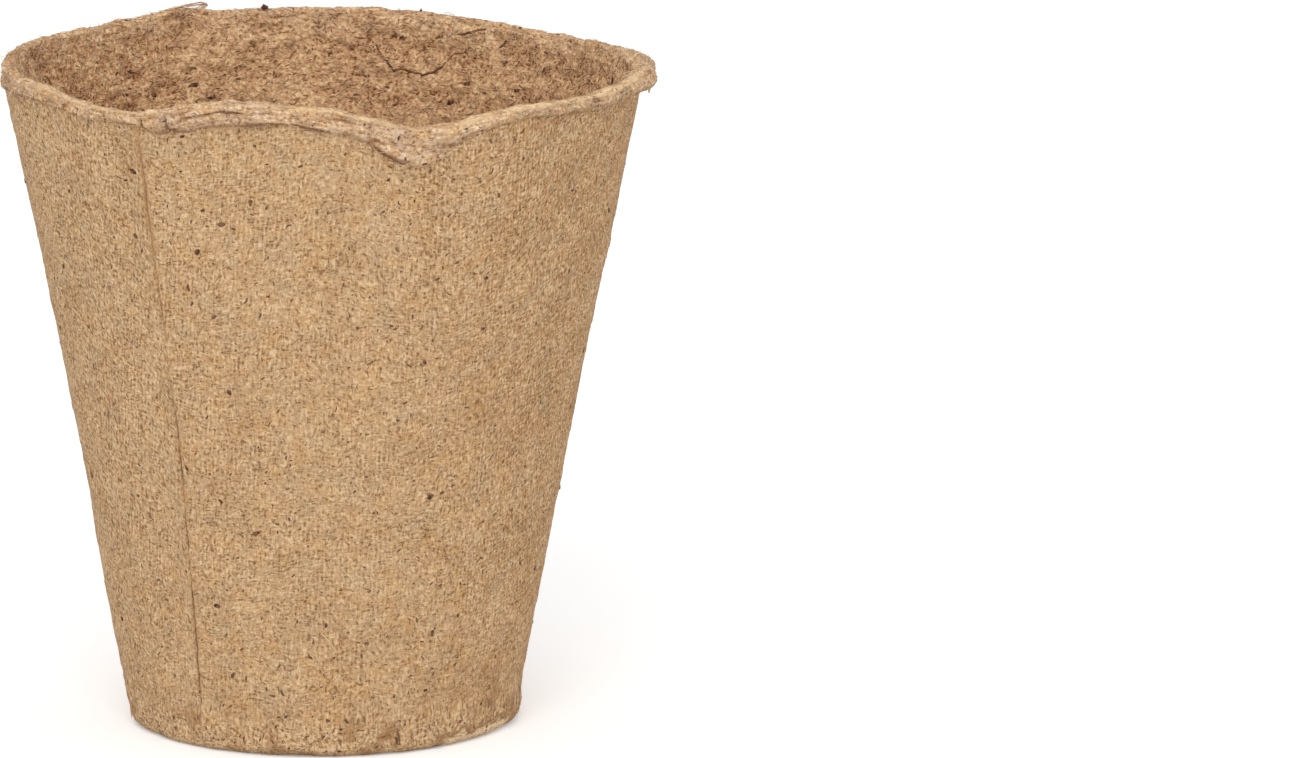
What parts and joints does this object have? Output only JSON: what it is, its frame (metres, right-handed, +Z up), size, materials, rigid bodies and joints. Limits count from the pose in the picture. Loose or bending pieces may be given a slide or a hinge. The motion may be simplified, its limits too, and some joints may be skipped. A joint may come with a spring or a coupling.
{
  "type": "peat pot",
  "caption": "Round tapered plant pot pressed from peat fibre pulp, with a closed flat floor and an uneven turned-over lip, for raising a seedling and planting it whole.",
  "frame": {"origin": "middle of the flat underside, on the ground", "axes": "+Z up through the open mouth, -Y to the front, where the lip has its folded flap a little to the right"},
  "size_m": [0.0808, 0.0801, 0.0832],
  "materials": {
    "peat_fibre": "rough pressed fibre pulp",
    "lip_fibre": "loose fibrous pulp",
    "bark": "dark matt bark chip",
    "straw": "pale matt straw"
  },
  "bodies": {
    "root": {"floor_dish": "peat_fibre", "side_wall": "peat_fibre", "rim_lip": "lip_fibre", "bark_flecks": "bark", "straw_fibres": "straw"}
  },
  "joints": []
}
